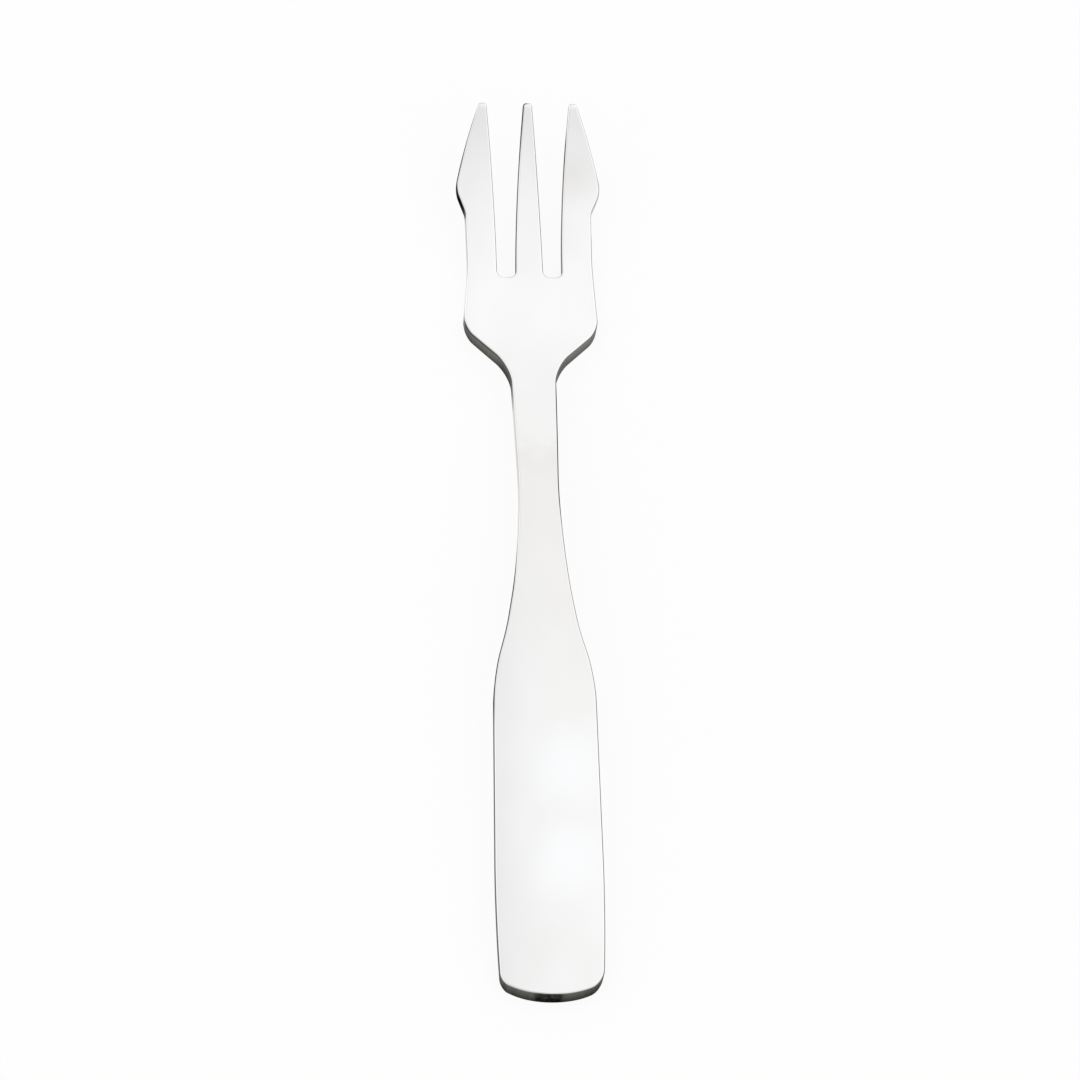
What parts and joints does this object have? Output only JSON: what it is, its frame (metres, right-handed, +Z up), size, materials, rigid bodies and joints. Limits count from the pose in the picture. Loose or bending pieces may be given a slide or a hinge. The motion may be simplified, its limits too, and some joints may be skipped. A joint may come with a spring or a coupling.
{
  "type": "oyster fork",
  "caption": "Small flat oyster fork pressed from one strip of stainless steel, with barbed outer tines, an arched neck and a plain paddle-shaped handle.",
  "frame": {"origin": "on the table that the fork lies on, below the middle of its length and width", "axes": "+Y from the handle end to the tine tips, +X across the fork to the right seen from the handle end, +Z up out of the fork's face"},
  "size_m": [0.0214, 0.1424, 0.0084],
  "materials": {
    "steel": "polished"
  },
  "bodies": {
    "root": {"fork": "steel"}
  },
  "joints": []
}
